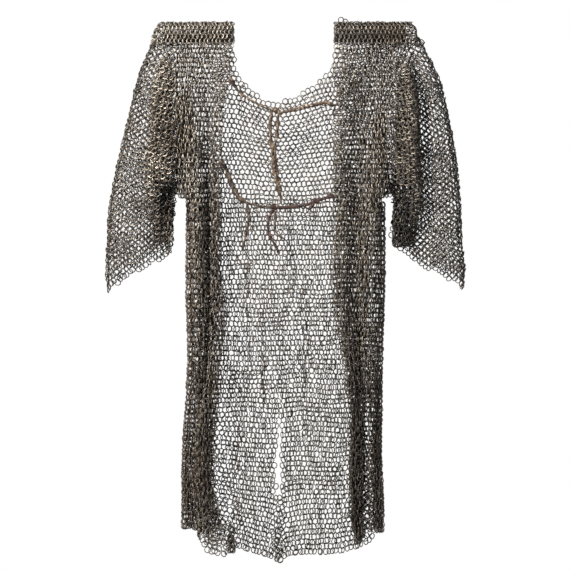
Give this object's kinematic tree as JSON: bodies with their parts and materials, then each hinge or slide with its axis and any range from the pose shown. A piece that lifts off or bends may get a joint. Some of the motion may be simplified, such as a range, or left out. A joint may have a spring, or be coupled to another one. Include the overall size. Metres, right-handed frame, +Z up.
{
  "type": "chainmail hauberk hung on two bars",
  "caption": "Open-fronted mail shirt with elbow sleeves, a scooped back neckline, a back vent and leather laces, hung by its shoulders on short round bars.",
  "frame": {"origin": "midway between the two bars, on their common axis", "axes": "+X to the right of the opening as it is looked at, +Y towards the back panel, +Z up"},
  "size_m": [0.5927, 0.0612, 0.8953],
  "materials": {
    "mail_iron": "drawn iron wire rings with a grey-brown patina, rust-brown in patches and worn brighter where light catches the wire",
    "bar_wood": "dark stained round wood, matt",
    "tan_leather": "dry tan-brown thong, cracked and twisted",
    "dark_leather": "dry dark red-brown thong, worn at its edges"
  },
  "bodies": {
    "root": {"back": "mail_iron", "back_skirt_left": "mail_iron", "back_skirt_right": "mail_iron", "left_bar": "bar_wood", "left_front": "mail_iron", "left_shoulder": "mail_iron", "left_side": "mail_iron", "left_sleeve": "mail_iron", "lower_knot_centre": "dark_leather", "lower_knot_end": "dark_leather", "lower_knot_left": "tan_leather", "lower_knot_right": "dark_leather", "lower_lace_end": "dark_leather", "lower_lace_left": "tan_leather", "lower_lace_right": "dark_leather", "lower_tail_left": "tan_leather", "lower_tail_middle": "dark_leather", "lower_tail_right": "tan_leather", "right_bar": "bar_wood", "right_front": "mail_iron", "right_shoulder": "mail_iron", "right_side": "mail_iron", "right_sleeve": "mail_iron", "upper_knot_centre": "tan_leather", "upper_knot_left": "tan_leather", "upper_knot_right": "tan_leather", "upper_lace_left": "tan_leather", "upper_lace_right": "tan_leather", "upper_leg_left": "tan_leather", "upper_leg_right": "tan_leather", "upper_twisted_end": "tan_leather"}
  },
  "joints": []
}
